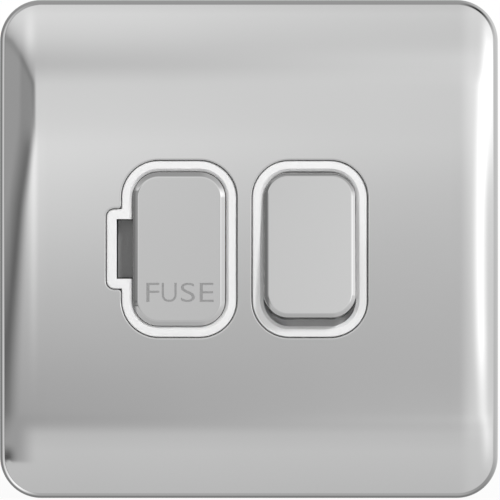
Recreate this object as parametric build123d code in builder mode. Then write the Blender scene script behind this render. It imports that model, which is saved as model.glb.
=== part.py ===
from build123d import *
import os
from math import asin, cos, degrees, radians, sin, sqrt

# Switched fused connection unit, single gang. A chrome cover plate clips over a white insert that
# carries a double-pole rocker switch and a pull-out fuse carrier, and a rear housing with six
# terminals stands in the wall box.
# All sizes are in millimetres. X runs right, Z runs up and -Y comes out of the wall. A level is a
# distance in front of the wall plane, so what lies in the wall box has a negative level.

# Cover plate: pillow-shaped pressing
plate_size = 87.0
plate_corner = 7.2
plate_rise = 6.8
plate_wall = 1.0
crown_radius = 800.0
side_roll = 7.0
side_roll_radius = 12.2
end_roll = 15.0
end_roll_radius = 70.0
rim_width = 0.85
rim_step = 0.12
rim_round = 0.55
aperture_gap = 0.15
aperture_round = 0.2
pry_width = 9.0
pry_depth = 1.3

# Insert: two collars, the lever notch beside the fuse collar, and the web behind the plate
fuse_x = -12.15
module_pitch = 22.75
collar_width = 16.3
collar_length = 27.0
collar_corner = 4.6
collar_wall = 1.85
collar_sunk = 0.55
collar_round = 0.2
collar_bevel = 0.15
collar_guide = 5.0
shelf_wall = 1.4
shelf_side = 0.8
shelf_end = 2.6
shelf_break = 3.0
slot_length = 10.4
slot_reach = 2.75
notch_wall = 1.75
notch_corner = 1.4
frame_margin = 5.5
frame_corner = 8.0
web_wall = 2.0
clip_width = 7.0
clip_offset = 20.0
clip_gap = 0.12
boss_r = 2.4
boss_gap = 0.12

# Mounting yoke: steel frame between the insert and the wall, with two folded earth legs
fixing_centres = 60.3
fixing_hole_r = 2.1
fixing_head_r = 4.2
lug_margin = 5.85
yoke_wall = 1.2
yoke_corner = 3.0
yoke_gap = 0.3
earth_leg_width = 5.0
earth_leg_depth = 4.0
fold_round = 1.0
stake_r = 1.2
stake_inset = 7.0
stake_z = 20.0

# Rear housing
housing_wall = 1.85
rear_round = 1.0
pole_margin = 0.5
fuse_margin = 0.8
housing_corner = 3.0
rear_wall = 3.2
rib_wall = 1.15
valley_ribs = 4
valley_rib_pitch = 14.0
valley_rib_height = 4.0
pocket_gap = 0.15
ear_length = 4.7
ear_width = 8.0
ear_wall = 2.0
screw_x = 17.0
screw_r = 1.3
screw_head_r = 2.3
screw_head = 1.5
screw_bite = 2.6
screw_fit = 0.02
pilot_spare = 0.3
screw_clearance = 0.25

# Rocker switch
rocker_side_gap = 0.2
rocker_end_gap = 0.8
rocker_corner = 4.2
rocker_reach = 7.2
rocker_proud = 1.85
rocker_skirt = 3.6
rocker_round = 0.8
rocker_draft = 3.0
rocker_tilt = 6.0
cap_wall = 1.0
cap_fit = 0.05
hub_half_length = 3.2
cradle_plate = 1.6
trunnion_r = 1.5
trunnion_fit = 0.05
trunnion_end_gap = 0.2
pole_offset = 4.4
tube_wall = 0.85
tube_reach = 5.0
plunger_r = 1.7
plunger_fit = 0.05
plunger_reach = 6.5
plunger_length = 3.4
plunger_gap = 0.2
spring_wire_r = 0.2
spring_wire_sides = 6
spring_turns = 4
spring_seat = 2.4

# Contacts and bars
contact_tilt = 10.5
contact_arm = 8.5
contact_tail = 6.0
strip_width = 5.0
strip_wall = 0.8
strip_offset = 0.3
pin_r = 0.75
pin_fit = 0.05
tip_r = 1.5
tip_wall = 0.8
tip_round = 0.5
tip_gap = 0.06
bar_wall = 0.8
bar_width = 4.0
ear_gap = 0.2
bracket_wall = 0.6
bracket_half_length = 2.2
bracket_cover = 0.7

# Fuse and carrier
fuse_length = 25.4
fuse_cap_r = 3.175
fuse_cap_length = 5.6
fuse_cap_wall = 0.35
fuse_fit = 0.02
fuse_clip_wall = 0.5
fuse_clip_fit = 0.06
fuse_clip_length = 4.4
fuse_clip_lip = 1.2
fuse_seat_gap = 0.1
carrier_gap = 0.2
carrier_proud = 0.65
carrier_cap = 2.0
carrier_round = 0.8
carrier_inset = 0.25
carrier_skirt = 6.5
carrier_wall = 1.2
cradle_wall = 1.6
cradle_length = 12.6
cradle_grip = 0.8
cradle_fit = 0.05
lever_ledge = 1.8
lever_wall = 1.6
lever_gap = 0.2
carrier_floor = 1.2

# Terminals
terminal_width = 6.4
terminal_length = 8.0
terminal_depth = 8.0
wire_r = 2.0
wire_cover = 1.0
bar_overlap = 6.0
entry_r = 2.4
terminal_screw_r = 1.7
terminal_screw_fit = 0.05
terminal_head_r = 2.4
terminal_head = 1.6
terminal_backout = 1.0
driver_slot = 0.7
driver_depth = 0.8
access_gap = 0.3

# Earth spring for the metal plate
spring_leaf = 0.3
spring_leaf_width = 4.0
spring_leaf_inset = 8.0
spring_leaf_z = -10.0
spring_leaf_foot = 5.0
spring_leaf_run = 6.0
spring_leaf_curl = 1.2
spring_leaf_gap = 0.15
spring_pin_r = 1.2
spring_pin_fit = 0.05

# Working lines and levels
FRONT = Plane.XZ
cut_margin = 2.0
plate_half = plate_size / 2
rocker_x = fuse_x + module_pitch
line_x = rocker_x - pole_offset
neutral_x = rocker_x + pole_offset
web_back = yoke_wall
web_front = web_back + web_wall
frame_size = plate_size - 2 * frame_margin
collar_front = plate_rise - collar_sunk
collar_back = web_back - collar_guide
collar_outer_width = collar_width + 2 * collar_wall
collar_outer_length = collar_length + 2 * collar_wall
collar_outer_corner = collar_corner + collar_wall
slot_left = fuse_x - collar_width / 2 - slot_reach
notch_left = slot_left - notch_wall
notch_right = fuse_x
notch_length = slot_length + 2 * notch_wall

rocker_width = collar_width - 2 * rocker_side_gap
rocker_length = collar_length - 2 * rocker_end_gap
pivot_level = collar_front + rocker_proud - rocker_reach
contact_level = (
    pivot_level - plunger_reach - plunger_r - plunger_gap - strip_offset - strip_wall
)
tip_flat = tip_r - tip_round
fixed_tip_level = (
    contact_level
    + (strip_offset - tip_wall) * cos(radians(contact_tilt))
    - (contact_arm + tip_flat) * sin(radians(contact_tilt))
    - tip_gap
)
bar_floor = fixed_tip_level - tip_wall - bar_wall
bar_front = bar_floor + bar_wall
fuse_level = bar_front + fuse_clip_wall + fuse_seat_gap + fuse_cap_r
fuse_barrel_r = fuse_cap_r - fuse_cap_wall
fuse_clip_z = fuse_length / 2 - fuse_cap_length / 2
fuse_clip_inner = fuse_cap_r + fuse_clip_fit

earth_leg_z = collar_outer_length / 2 + pocket_gap + rib_wall + pocket_gap
terminal_z = earth_leg_z + yoke_wall + terminal_length / 2
terminal_back = bar_floor - terminal_depth
wire_level = bar_floor - wire_cover - wire_r
housing_back = terminal_back - rear_wall
housing_half_height = terminal_z + terminal_length / 2 + pocket_gap + housing_wall
housing_half_width = max(
    -slot_left + housing_wall,
    rocker_x + collar_outer_width / 2 + pocket_gap + housing_wall,
)
yoke_width = fixing_centres + 2 * lug_margin
yoke_height = 2 * (housing_half_height + yoke_gap + ear_length)
screw_z = housing_half_height + yoke_gap + ear_length / 2
earth_out_x = (fuse_x + neutral_x) / 2

pin_half = strip_width / 2 + ear_gap + bracket_wall + ear_gap
pole_half = pin_half + pole_margin / 2
pole_half_length = contact_arm + tip_r + 2 * pole_margin
tube_r = plunger_r + plunger_fit + tube_wall
cradle_half = fuse_barrel_r + cradle_fit + cradle_wall
fuse_pocket_half = cradle_half + fuse_margin
fuse_pocket_half_length = fuse_length / 2 + fuse_margin
link_x = (fuse_x + fuse_pocket_half + line_x - pole_half) / 2
bar_end_z = terminal_z - terminal_length / 2 + bar_overlap
spring_leaf_x = frame_size / 2 - spring_leaf_inset
stake_x = frame_size / 2 - stake_inset
valley_half = collar_outer_length / 2 + pocket_gap
valley_floor = bar_floor - housing_wall
carrier_front = collar_front + carrier_proud
carrier_back = carrier_front - carrier_cap

terminals = {
    "supply_earth_terminal": (fuse_x, 1),
    "supply_line_terminal": (line_x, 1),
    "supply_neutral_terminal": (neutral_x, 1),
    "load_line_terminal": (fuse_x, -1),
    "load_earth_terminal": (earth_out_x, -1),
    "load_neutral_terminal": (neutral_x, -1),
}
earth_legs = [(fuse_x, 1), (earth_out_x, -1)]
screw_places = [(sx * screw_x, sz * screw_z) for sx in (-1, 1) for sz in (-1, 1)]
stake_places = [(sx * stake_x, sz * stake_z) for sx in (-1, 1) for sz in (-1, 1)]
collar_places = [(fuse_x, 0), (rocker_x, 0)]
fixing_places = [(-fixing_centres / 2, 0), (fixing_centres / 2, 0)]

os.makedirs("parts", exist_ok=True)


# A plane parallel to the wall, at a level
def level(height):
    return FRONT.offset(height)


def write(block, name):
    block.part.label = name
    export_step(block.part, f"parts/{name}.step")


# Height of the plate's skin above the wall: a flat-topped section with rolled sides, carried along
# a vertical line that is crowned in the middle and rolls off at both ends
crown_half = plate_half - end_roll
crown_angle = asin(crown_half / crown_radius)
end_centre_z = crown_half - end_roll_radius * sin(crown_angle)
end_centre_drop = crown_radius - (crown_radius - end_roll_radius) * cos(crown_angle)
side_flat = plate_half - side_roll


def skin_level(x, z):
    side = max(abs(x) - side_flat, 0)
    side_drop = side_roll_radius - sqrt(side_roll_radius**2 - side**2)
    if abs(z) <= crown_half:
        end_drop = crown_radius - sqrt(crown_radius**2 - z**2)
    else:
        end_drop = end_centre_drop - sqrt(end_roll_radius**2 - (abs(z) - end_centre_z) ** 2)
    return plate_rise - side_drop - end_drop


# Solid under the skin, lowered by a wall thickness where that is given
def pillow(wall):
    reach = plate_half + cut_margin
    top = plate_rise - wall
    first = -skin_level(0, reach) + wall
    side_angle = degrees(asin((side_roll + cut_margin) / side_roll_radius))
    end_angle = degrees(asin((reach - end_centre_z) / end_roll_radius))
    middle_angle = degrees(crown_angle)
    end_y = end_centre_drop - top
    with BuildPart() as body:
        with BuildLine(Plane.YZ) as climb:
            CenterArc((end_y, -end_centre_z), end_roll_radius, 180 + end_angle, middle_angle - end_angle)
            CenterArc((crown_radius - top, 0), crown_radius, 180 + middle_angle, -2 * middle_angle)
            CenterArc((end_y, end_centre_z), end_roll_radius, 180 - middle_angle, middle_angle - end_angle)
        with BuildSketch(Plane.XY.offset(-reach)) as section:
            with BuildLine():
                left = CenterArc(
                    (-side_flat, first + side_roll_radius), side_roll_radius, 270 - side_angle, side_angle
                )
                right = CenterArc((side_flat, first + side_roll_radius), side_roll_radius, 270, side_angle)
                Line(left @ 1, right @ 0)
                low = first + plate_size / 2
                Polyline(right @ 1, ((right @ 1).X, low), ((left @ 0).X, low), left @ 0)
            make_face()
        sweep(sections=section.sketch, path=climb.line, normal=(0, 0, 1))
    return body.part


# Cover plate
outer_pillow = pillow(0)
rim_pillow = pillow(rim_step)
inner_pillow = pillow(plate_wall)

with BuildPart() as plate_skin:
    with BuildSketch(FRONT):
        RectangleRounded(plate_size - 2 * rim_width, plate_size - 2 * rim_width, plate_corner - rim_width)
    extrude(amount=plate_rise)
    add(outer_pillow, mode=Mode.INTERSECT)

with BuildPart() as plate_hollow:
    with BuildSketch(level(-cut_margin)):
        RectangleRounded(
            plate_size - 2 * plate_wall, plate_size - 2 * plate_wall, plate_corner - plate_wall
        )
    extrude(amount=plate_rise + cut_margin)
    add(inner_pillow, mode=Mode.INTERSECT)

with BuildPart() as front_plate:
    with BuildSketch(FRONT):
        RectangleRounded(plate_size, plate_size, plate_corner)
    extrude(amount=plate_rise)
    add(rim_pillow, mode=Mode.INTERSECT)
    walls = front_plate.faces().filter_by(lambda face: abs(face.normal_at().Y) < 0.001)
    rim = walls.edges().filter_by(lambda edge: edge.center().Y < -pry_depth)
    rim = rim.filter_by(Axis.Y, reverse=True)
    fillet(rim, rim_round)
    add(plate_skin.part)
    add(plate_hollow.part, mode=Mode.SUBTRACT)
    with BuildSketch(FRONT):
        with Locations(*collar_places):
            RectangleRounded(
                collar_outer_width + 2 * aperture_gap,
                collar_outer_length + 2 * aperture_gap,
                collar_outer_corner + aperture_gap,
            )
        with Locations(((notch_left + notch_right) / 2, 0)):
            RectangleRounded(
                notch_right - notch_left + 2 * aperture_gap,
                notch_length + 2 * aperture_gap,
                notch_corner + aperture_gap,
            )
    extrude(amount=plate_rise + cut_margin, mode=Mode.SUBTRACT)
    mouths = front_plate.edges().filter_by(lambda edge: edge.center().Y < plate_wall / 2 - plate_rise)
    fillet(mouths, aperture_round)
    with BuildSketch(FRONT):
        with Locations((0, -plate_half)):
            Rectangle(pry_width, 2 * (plate_wall + cut_margin))
    extrude(amount=pry_depth, mode=Mode.SUBTRACT)
write(front_plate, "front_plate")


# White insert
clip_reach = plate_half - plate_wall - clip_gap
boss_top = skin_level(screw_x, screw_z + boss_r) - plate_wall - boss_gap

with BuildPart() as insert_frame:
    with BuildSketch(level(web_back)):
        RectangleRounded(frame_size, frame_size, frame_corner)
        with Locations((0, clip_offset), (0, -clip_offset)):
            Rectangle(2 * clip_reach, clip_width)
        with Locations((clip_offset, 0), (-clip_offset, 0)):
            Rectangle(clip_width, 2 * clip_reach)
        with Locations(*fixing_places):
            Circle(fixing_head_r, mode=Mode.SUBTRACT)
        with Locations((spring_leaf_x, spring_leaf_z)):
            Circle(spring_pin_r + spring_pin_fit, mode=Mode.SUBTRACT)
    extrude(amount=web_wall)
    with BuildSketch(level(collar_back)):
        with Locations(*collar_places):
            RectangleRounded(collar_outer_width, collar_outer_length, collar_outer_corner)
    extrude(amount=collar_front - collar_back)
    with BuildSketch(level(web_back)):
        with Locations(((notch_left + notch_right) / 2, 0)):
            RectangleRounded(notch_right - notch_left, notch_length, notch_corner)
    extrude(amount=collar_front - web_back)
    collar_faces = insert_frame.faces().filter_by(Axis.Y).group_by(Axis.Y)[0]
    fillet(collar_faces.edges(), collar_round)
    with BuildSketch(level(collar_back)):
        with Locations(*collar_places):
            RectangleRounded(collar_width, collar_length, collar_corner)
    extrude(amount=collar_front - collar_back, mode=Mode.SUBTRACT)
    collar_faces = insert_frame.faces().filter_by(Axis.Y).group_by(Axis.Y)[0]
    mouths = [wire.edges() for face in collar_faces for wire in face.inner_wires()]
    chamfer(mouths, collar_bevel)
    with BuildSketch(level(web_back)):
        with Locations((rocker_x, 0)):
            RectangleRounded(collar_width, collar_length, collar_corner)
            RectangleRounded(
                collar_width - 2 * shelf_side,
                collar_length - 2 * shelf_end,
                collar_corner - shelf_end,
                mode=Mode.SUBTRACT,
            )
            Rectangle(collar_width, 2 * shelf_break, mode=Mode.SUBTRACT)
    extrude(amount=shelf_wall)
    with BuildSketch(level(collar_back)):
        with Locations((slot_left + slot_reach, 0)):
            Rectangle(2 * slot_reach, slot_length)
    extrude(amount=collar_front - collar_back, mode=Mode.SUBTRACT)
    with BuildSketch(Plane.YZ.offset(rocker_x - collar_outer_width / 2)):
        with Locations((-pivot_level, 0)):
            Circle(trunnion_r + trunnion_fit)
    extrude(amount=collar_outer_width, mode=Mode.SUBTRACT)
    with BuildSketch(level(web_front)):
        with Locations(*screw_places):
            Circle(boss_r)
    extrude(amount=boss_top - web_front)
    with BuildSketch(level(web_back)):
        with Locations(*screw_places):
            Circle(screw_r + screw_fit)
    extrude(amount=screw_bite + pilot_spare, mode=Mode.SUBTRACT)
    with BuildSketch(level(0)):
        with Locations(*stake_places):
            Circle(stake_r)
    extrude(amount=web_back)
write(insert_frame, "insert_frame")

# Mounting yoke
with BuildPart() as mounting_yoke:
    with BuildSketch(level(0)):
        RectangleRounded(yoke_width, yoke_height, yoke_corner)
        RectangleRounded(
            2 * (housing_half_width + yoke_gap),
            2 * (housing_half_height + yoke_gap),
            housing_corner + yoke_gap,
            mode=Mode.SUBTRACT,
        )
        for x, side in earth_legs:
            with Locations((x, side * (earth_leg_z + screw_z) / 2)):
                Rectangle(earth_leg_width, screw_z - earth_leg_z)
        with Locations(*fixing_places):
            Circle(fixing_hole_r, mode=Mode.SUBTRACT)
        with Locations(*screw_places):
            Circle(screw_r + screw_clearance, mode=Mode.SUBTRACT)
        with Locations(*stake_places):
            Circle(stake_r + screw_fit, mode=Mode.SUBTRACT)
    extrude(amount=yoke_wall)
    with BuildSketch(level(bar_floor - earth_leg_depth)):
        for x, side in earth_legs:
            with Locations((x, side * (earth_leg_z + yoke_wall / 2))):
                Rectangle(earth_leg_width, yoke_wall)
    extrude(amount=yoke_wall - bar_floor + earth_leg_depth)
    front_edges = mounting_yoke.edges().filter_by(Axis.X).group_by(Axis.Y)[0]
    folds = front_edges.filter_by(lambda edge: abs(abs(edge.center().Z) - earth_leg_z) < yoke_gap)
    fillet(folds, fold_round)
write(mounting_yoke, "mounting_yoke")

# Rear housing
ear_end = housing_half_height + yoke_gap + ear_length

with BuildPart() as rear_housing:
    with BuildSketch(level(housing_back)):
        RectangleRounded(2 * housing_half_width, 2 * housing_half_height, housing_corner)
    extrude(amount=web_back - housing_back)
    fillet(rear_housing.faces().sort_by(Axis.Y)[-1].edges(), rear_round)
    with BuildSketch(level(-ear_wall)):
        with Locations((-screw_x, 0), (screw_x, 0)):
            RectangleRounded(ear_width, 2 * ear_end, ear_wall)
    extrude(amount=ear_wall)
    with BuildSketch(level(housing_back)):
        Rectangle(2 * housing_half_width + cut_margin, 2 * valley_half)
    extrude(amount=valley_floor - housing_back, mode=Mode.SUBTRACT)
    with BuildSketch(level(valley_floor)):
        with GridLocations(valley_rib_pitch, 0, valley_ribs, 1):
            Rectangle(rib_wall, 2 * valley_half)
    extrude(amount=-valley_rib_height)
    with BuildSketch(level(web_back)):
        with Locations(*collar_places):
            RectangleRounded(
                collar_outer_width + 2 * pocket_gap,
                collar_outer_length + 2 * pocket_gap,
                collar_outer_corner + pocket_gap,
            )
    extrude(amount=-(collar_guide + pocket_gap), mode=Mode.SUBTRACT)
    with BuildSketch(level(bar_floor)):
        with Locations((fuse_x, 0)):
            Rectangle(2 * fuse_pocket_half, 2 * fuse_pocket_half_length)
        with Locations((line_x, 0), (neutral_x, 0)):
            Rectangle(2 * pole_half, 2 * pole_half_length)
        for x, side in ((line_x, 1), (neutral_x, 1), (fuse_x, -1), (neutral_x, -1)):
            with Locations((x, side * terminal_z / 2)):
                Rectangle(bar_width + 2 * pocket_gap, terminal_z)
        with Locations((link_x, fuse_clip_z / 2)):
            Rectangle(
                bar_width + 2 * pocket_gap,
                fuse_clip_z + bracket_half_length + bar_width / 2 + 2 * pocket_gap,
            )
        with Locations(((link_x + line_x) / 2, 0)):
            Rectangle(line_x - link_x, 2 * (bracket_half_length + pocket_gap))
        with Locations(((link_x + fuse_x) / 2, fuse_clip_z)):
            Rectangle(link_x - fuse_x, bar_width + 2 * pocket_gap)
    extrude(amount=web_back - bar_floor, mode=Mode.SUBTRACT)
    with BuildSketch(level(terminal_back)):
        for x, side in terminals.values():
            with Locations((x, side * terminal_z)):
                Rectangle(terminal_width + 2 * pocket_gap, terminal_length + 2 * pocket_gap)
        for x, side in earth_legs:
            with Locations((x, side * (earth_leg_z + yoke_wall / 2))):
                Rectangle(earth_leg_width + 2 * pocket_gap, yoke_wall + 2 * pocket_gap)
    extrude(amount=web_back - terminal_back, mode=Mode.SUBTRACT)
    with BuildSketch(level(-pocket_gap)):
        for x, side in earth_legs:
            with Locations((x, side * housing_half_height)):
                Rectangle(earth_leg_width + 2 * pocket_gap, terminal_length)
    extrude(amount=web_back + pocket_gap, mode=Mode.SUBTRACT)
    for x, side in terminals.values():
        with BuildSketch(Plane.XY.offset(side * terminal_z)):
            with Locations((x, -wire_level)):
                Circle(entry_r)
        extrude(amount=side * (housing_half_height - terminal_z), mode=Mode.SUBTRACT)
    with BuildSketch(level(housing_back)):
        for x, side in terminals.values():
            with Locations((x, side * terminal_z)):
                Circle(terminal_head_r + access_gap)
    extrude(amount=rear_wall, mode=Mode.SUBTRACT)
    with BuildSketch(level(-ear_wall)):
        with Locations(*screw_places):
            Circle(screw_r + screw_clearance)
    extrude(amount=ear_wall, mode=Mode.SUBTRACT)
write(rear_housing, "rear_housing")

# Screws that clamp housing, yoke and insert together
with BuildPart() as housing_screws:
    with BuildSketch(level(-ear_wall)):
        with Locations(*screw_places):
            Circle(screw_head_r)
    extrude(amount=-screw_head)
    with BuildSketch(level(-ear_wall)):
        with Locations(*screw_places):
            Circle(screw_r)
    extrude(amount=ear_wall + web_back + screw_bite)
    with BuildSketch(level(-ear_wall - screw_head)):
        with Locations(*screw_places):
            Rectangle(2 * screw_head_r + cut_margin, driver_slot)
            Rectangle(driver_slot, 2 * screw_head_r + cut_margin)
    extrude(amount=driver_depth, mode=Mode.SUBTRACT)
write(housing_screws, "housing_screws")

# Leaf spring that earths the plate: its pin passes through the web to the yoke
leaf_tip_z = spring_leaf_z - spring_leaf_foot / 2 - spring_leaf_run
leaf_tip_x = spring_leaf_x + spring_leaf_width / 2
leaf_tip = skin_level(leaf_tip_x, leaf_tip_z) - plate_wall - spring_leaf_gap - spring_leaf
leaf_foot = web_front + spring_leaf / 2

with BuildPart() as plate_earth_spring:
    with BuildSketch(Plane.YZ.offset(spring_leaf_x - spring_leaf_width / 2)):
        with BuildLine():
            Polyline(
                (-leaf_foot, spring_leaf_z + spring_leaf_foot / 2),
                (-leaf_foot, spring_leaf_z - spring_leaf_foot / 2),
                (-leaf_tip, leaf_tip_z),
                (-leaf_tip + spring_leaf_curl / 2, leaf_tip_z - spring_leaf_curl),
            )
        trace(line_width=spring_leaf)
    extrude(amount=spring_leaf_width)
    with BuildSketch(level(web_back)):
        with Locations((spring_leaf_x, spring_leaf_z)):
            Circle(spring_pin_r)
    extrude(amount=web_wall + spring_leaf / 2)
write(plate_earth_spring, "plate_earth_spring")


# A plane on a pivot that lies along X, turned about that pivot
def tilted(x, height, angle):
    return Plane((x, -height, 0), x_dir=(1, 0, 0), z_dir=FRONT.z_dir).rotated((angle, 0, 0))


# Rocker, at rest in its off position with the lower end standing out
rocker_plane = tilted(rocker_x, pivot_level, -rocker_tilt)
cap_edge = rocker_reach - rocker_skirt
cap_inner_width = rocker_width - 2 * cap_wall
cap_inner_length = rocker_length - 2 * cap_wall
cap_inner_corner = rocker_corner - cap_wall
cradle_top = rocker_reach - cap_wall

with BuildPart() as rocker_cap:
    with BuildSketch(rocker_plane.offset(cap_edge)):
        RectangleRounded(rocker_width, rocker_length, rocker_corner)
    extrude(amount=rocker_skirt, taper=rocker_draft)
    faces = rocker_cap.faces().filter_by(Plane.XZ.rotated((-rocker_tilt, 0, 0)))
    fillet(faces.sort_by(Axis.Y)[0].edges(), rocker_round)
    with BuildSketch(rocker_plane.offset(cap_edge)):
        RectangleRounded(cap_inner_width, cap_inner_length, cap_inner_corner)
    extrude(amount=cradle_top - cap_edge, mode=Mode.SUBTRACT)
write(rocker_cap, "rocker_cap")

hub_half_width = cap_inner_width / 2 - cap_fit
trunnion_half = collar_outer_width / 2 - trunnion_end_gap

with BuildPart() as rocker_cradle:
    with BuildSketch(rocker_plane.offset(cradle_top)):
        RectangleRounded(
            cap_inner_width - 2 * cap_fit, cap_inner_length - 2 * cap_fit, cap_inner_corner - cap_fit
        )
    extrude(amount=-cradle_plate)
    with BuildSketch(rocker_plane.offset(cradle_top)):
        Rectangle(2 * hub_half_width, 2 * hub_half_length)
    extrude(amount=-cradle_top - trunnion_r)
    with BuildSketch(rocker_plane.offset(-tube_reach)):
        with Locations((-pole_offset, 0), (pole_offset, 0)):
            Circle(tube_r)
    extrude(amount=tube_reach)
    with BuildSketch(Plane.YZ.offset(rocker_x - trunnion_half)):
        with Locations((-pivot_level, 0)):
            Circle(trunnion_r)
    extrude(amount=2 * trunnion_half)
    with BuildSketch(rocker_plane.offset(-tube_reach)):
        with Locations((-pole_offset, 0), (pole_offset, 0)):
            Circle(plunger_r + plunger_fit)
    extrude(amount=tube_reach + spring_seat, mode=Mode.SUBTRACT)
write(rocker_cradle, "rocker_cradle")

# Plungers and springs in the cradle's tubes
spring_r = plunger_r - 2 * spring_wire_r
spring_base = -plunger_reach + plunger_length + spring_wire_r
spring_height = spring_seat - spring_wire_r - spring_base

for name, x in (("line", -pole_offset), ("neutral", pole_offset)):
    pole_plane = rocker_plane.shift_origin(rocker_plane.from_local_coords((x, 0, 0)))
    with BuildPart(pole_plane.offset(-plunger_reach)) as plunger:
        Sphere(plunger_r)
        Cylinder(plunger_r, plunger_length, align=(Align.CENTER, Align.CENTER, Align.MIN))
    write(plunger, f"{name}_plunger")
    with BuildPart() as spring:
        with BuildLine(pole_plane.offset(spring_base)) as coil:
            Helix(
                pitch=spring_height / spring_turns,
                height=spring_height,
                radius=spring_r,
                direction=pole_plane.z_dir,
            )
        with BuildSketch(Plane(coil.line @ 0, z_dir=coil.line % 0)):
            RegularPolygon(spring_wire_r, spring_wire_sides)
        sweep(path=coil.line, is_frenet=True)
    write(spring, f"{name}_spring")

# Moving contacts: see-saw strips on a cross pin, each with a tip on its upper end
strip_end = contact_arm + tip_r + pin_fit
for name, x in (("line", line_x), ("neutral", neutral_x)):
    see_saw = tilted(x, contact_level, contact_tilt)
    with BuildPart() as moving_contact:
        with BuildSketch(see_saw.offset(strip_offset)):
            with Locations((0, (strip_end - contact_tail) / 2)):
                Rectangle(strip_width, strip_end + contact_tail)
        extrude(amount=strip_wall)
        with BuildSketch(Plane.YZ.offset(x - pin_half)):
            with Locations((-contact_level, 0)):
                Circle(pin_r)
        extrude(amount=2 * pin_half)
    write(moving_contact, f"{name}_moving_contact")
    with BuildPart() as moving_tip:
        with BuildSketch(see_saw.offset(strip_offset)):
            with Locations((0, contact_arm)):
                Circle(tip_r)
        extrude(amount=-tip_wall)
        fillet(moving_tip.edges().sort_by(Axis.Y)[-1], tip_round)
    write(moving_tip, f"{name}_moving_tip")

# Bars: each is a list of rectangles given as left, right, bottom and top
half_bar = bar_width / 2
bracket_half = strip_width / 2 + ear_gap + bracket_wall
bars = {
    "supply_line_bar": [(line_x - half_bar, line_x + half_bar, contact_arm - tip_r, bar_end_z)],
    "supply_neutral_bar": [(neutral_x - half_bar, neutral_x + half_bar, contact_arm - tip_r, bar_end_z)],
    "load_line_bar": [(fuse_x - half_bar, fuse_x + half_bar, -bar_end_z, half_bar - fuse_clip_z)],
    "line_link": [
        (link_x - half_bar, line_x + bracket_half, -bracket_half_length, bracket_half_length),
        (link_x - half_bar, link_x + half_bar, -bracket_half_length, fuse_clip_z + half_bar),
        (fuse_x - half_bar, link_x + half_bar, fuse_clip_z - half_bar, fuse_clip_z + half_bar),
    ],
    "load_neutral_bar": [
        (neutral_x - bracket_half, neutral_x + bracket_half, -bracket_half_length, bracket_half_length),
        (neutral_x - half_bar, neutral_x + half_bar, -bar_end_z, 0),
    ],
}
bracket_x = {"line_link": line_x, "load_neutral_bar": neutral_x}
bracket_front = contact_level + bracket_cover

for name, pieces in bars.items():
    with BuildPart() as bar:
        with BuildSketch(level(bar_floor)):
            for left, right, bottom, top in pieces:
                with Locations(((left + right) / 2, (bottom + top) / 2)):
                    Rectangle(right - left, top - bottom)
        extrude(amount=bar_wall)
        if name in bracket_x:
            inner = bracket_half - bracket_wall
            for start in (bracket_x[name] - bracket_half, bracket_x[name] + inner):
                with BuildSketch(Plane.YZ.offset(start)):
                    with Locations((-(bracket_front + bar_floor) / 2, 0)):
                        Rectangle(bracket_front - bar_floor, 2 * bracket_half_length)
                    with Locations((-contact_level, 0)):
                        Circle(pin_r + pin_fit, mode=Mode.SUBTRACT)
                    with Locations((-(contact_level + bracket_front) / 2, 0)):
                        Rectangle(
                            bracket_front - contact_level, 2 * (pin_r + pin_fit), mode=Mode.SUBTRACT
                        )
                extrude(amount=bracket_wall)
    write(bar, name)

with BuildPart() as fixed_contact_tips:
    with BuildSketch(level(bar_front)):
        with Locations((line_x, contact_arm), (neutral_x, contact_arm)):
            Circle(tip_r)
    extrude(amount=tip_wall)
    fillet(fixed_contact_tips.edges().group_by(Axis.Y)[0], tip_round)
write(fixed_contact_tips, "fixed_contact_tips")

# Fuse clips: folded channels on the ends of the link and of the load bar
clip_x = fuse_clip_inner + fuse_clip_wall / 2
clip_base = bar_front + fuse_clip_wall / 2
clip_top = fuse_level + fuse_cap_r / 2

for name, z in (("upper_fuse_clip", fuse_clip_z), ("lower_fuse_clip", -fuse_clip_z)):
    with BuildPart() as fuse_clip:
        with BuildSketch(Plane.XY.offset(z - fuse_clip_length / 2)):
            with BuildLine():
                Polyline(
                    (fuse_x - clip_x - fuse_clip_lip / 2, -clip_top - fuse_clip_lip),
                    (fuse_x - clip_x, -clip_top),
                    (fuse_x - clip_x, -clip_base),
                    (fuse_x + clip_x, -clip_base),
                    (fuse_x + clip_x, -clip_top),
                    (fuse_x + clip_x + fuse_clip_lip / 2, -clip_top - fuse_clip_lip),
                )
            trace(line_width=fuse_clip_wall)
        extrude(amount=fuse_clip_length)
    write(fuse_clip, name)

# Cartridge fuse
fuse_plane = Plane((fuse_x, -fuse_level, 0))

with BuildPart(fuse_plane) as fuse_barrel:
    Cylinder(fuse_barrel_r, fuse_length - 2 * fuse_cap_wall)
write(fuse_barrel, "fuse_barrel")

with BuildPart() as fuse_end_caps:
    for side in (-1, 1):
        with BuildSketch(fuse_plane.offset(side * fuse_length / 2)):
            Circle(fuse_cap_r)
        extrude(amount=-side * fuse_cap_length)
        with BuildSketch(fuse_plane.offset(side * (fuse_length / 2 - fuse_cap_length))):
            Circle(fuse_barrel_r + fuse_fit)
        extrude(amount=side * (fuse_cap_length - fuse_cap_wall), mode=Mode.SUBTRACT)
write(fuse_end_caps, "fuse_end_caps")

# Fuse carrier
carrier_width = collar_width - 2 * carrier_gap
carrier_length = collar_length - 2 * carrier_gap
carrier_corner = collar_corner - carrier_gap
drawer_width = carrier_width - 2 * carrier_inset
drawer_length = carrier_length - 2 * carrier_inset
drawer_corner = carrier_corner - carrier_inset
lever_left = slot_left + lever_gap
lever_right = fuse_x - drawer_width / 2 + carrier_wall
cradle_mouth = fuse_barrel_r - cradle_grip
cradle_end = fuse_level - sqrt(fuse_barrel_r**2 - cradle_mouth**2)

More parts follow.
